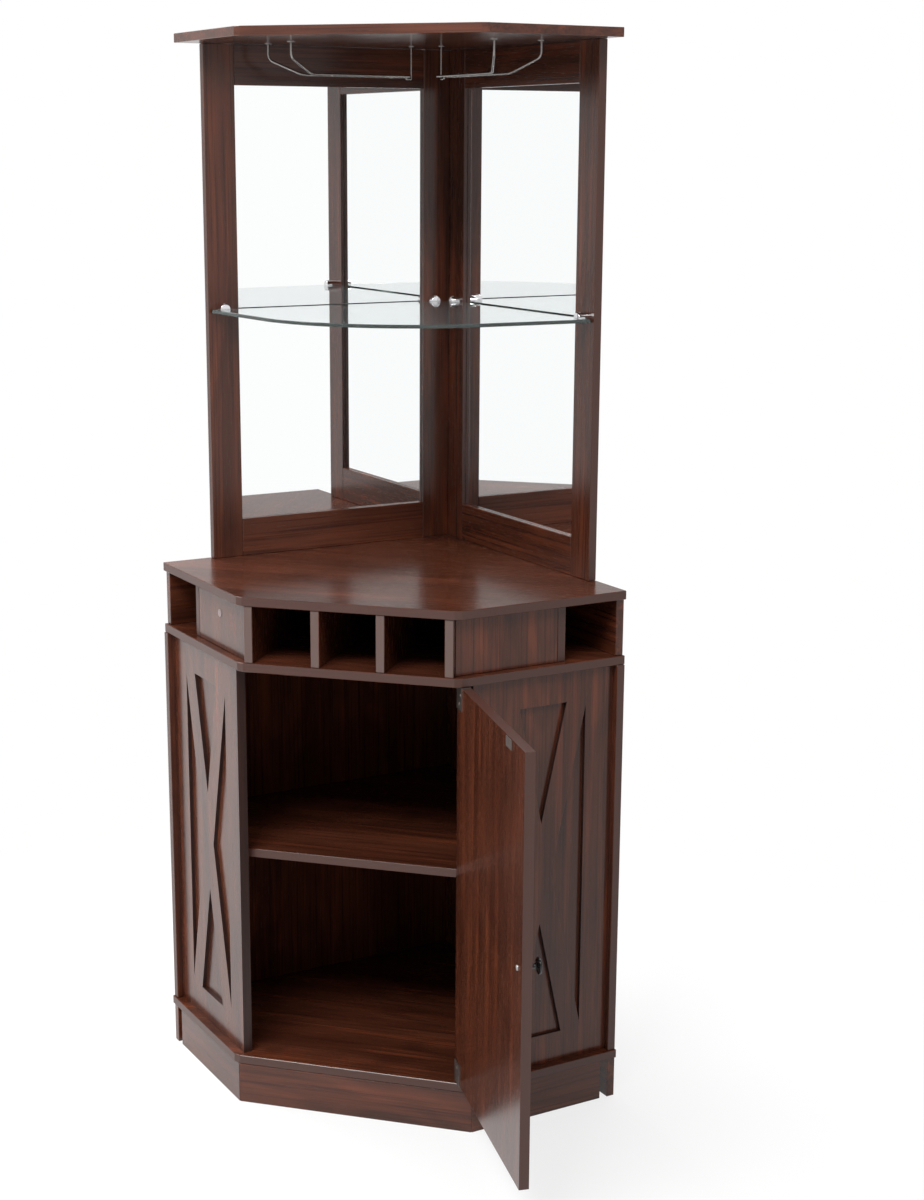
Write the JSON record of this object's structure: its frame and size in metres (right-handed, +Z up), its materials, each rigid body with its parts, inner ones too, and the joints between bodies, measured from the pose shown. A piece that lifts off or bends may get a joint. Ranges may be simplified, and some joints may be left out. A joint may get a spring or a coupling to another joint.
{
  "type": "corner bar cabinet",
  "caption": "Tall five-sided corner bar cabinet: cupboard with one swing door and X-pattern side panels, bottle rack, counter, mirrored back, glass shelf and stemware racks.",
  "frame": {"origin": "on the floor, under the middle of the plinth's front board", "axes": "+Z up, -Y towards the viewer (the front), +X to the viewer's right, +Y towards the room corner"},
  "size_m": [0.8354, 0.9436, 1.81],
  "materials": {
    "laminate": "satin dark espresso laminate on board",
    "hardboard": "raw brown hardboard",
    "mirror_glass": "silvered mirror",
    "clear_glass": "clear tempered glass with a green edge",
    "chrome_plate": "bright chrome plate",
    "zinc_steel": "plated steel",
    "black_knob": "gloss black",
    "brown_plastic": "matt brown plastic",
    "pale_cap": "matt cover cap"
  },
  "bodies": {
    "cabinet": {"top_board": "laminate", "counter_board": "laminate", "rack_board": "laminate", "base_board": "laminate", "plinth_front": "laminate", "inner_shelf": "laminate", "plinth_side_left": "laminate", "side_panel_left": "laminate", "bottle_post_left": "laminate", "bottle_divider_left": "laminate", "end_divider_left": "laminate", "filler_left": "laminate", "stile_outer_left": "laminate", "stile_inner_left": "laminate", "rail_top_left": "laminate", "rail_bottom_left": "laminate", "plinth_wall_left": "laminate", "wall_panel_left": "laminate", "rack_wall_left": "laminate", "mirror_backing_left": "hardboard", "mirror_left": "mirror_glass", "stemware_rack_left": "chrome_plate", "rack_hook_left": "chrome_plate", "plinth_side_right": "laminate", "side_panel_right": "laminate", "bottle_post_right": "laminate", "bottle_divider_right": "laminate", "end_divider_right": "laminate", "filler_right": "laminate", "stile_outer_right": "laminate", "stile_inner_right": "laminate", "rail_top_right": "laminate", "rail_bottom_right": "laminate", "plinth_wall_right": "laminate", "wall_panel_right": "laminate", "rack_wall_right": "laminate", "mirror_backing_right": "hardboard", "mirror_right": "mirror_glass", "stemware_rack_right": "chrome_plate", "rack_hook_right": "chrome_plate", "glass_shelf": "clear_glass", "shelf_clip_1": "chrome_plate", "shelf_clip_2": "chrome_plate", "shelf_clip_3": "chrome_plate", "shelf_clip_4": "chrome_plate", "shelf_pin_1": "zinc_steel", "shelf_pin_2": "zinc_steel", "shelf_pin_3": "zinc_steel", "shelf_pin_4": "zinc_steel", "hinge_socket_top": "zinc_steel", "hinge_socket_bottom": "zinc_steel", "magnet_catch": "brown_plastic", "cam_cap": "pale_cap"},
    "door": {"door": "laminate", "knob": "black_knob", "knob_screw": "zinc_steel", "strike_plate": "zinc_steel", "hinge_leaf_top": "zinc_steel", "hinge_leaf_bottom": "zinc_steel"}
  },
  "joints": [
    {"name": "door_hinge", "type": "hinge", "parent": "cabinet", "child": "door", "pos_m": [0.1865, 0.0035, 0.436], "axis": [0, 0, 1], "range_deg": [-119.5, 15.5]}
  ]
}
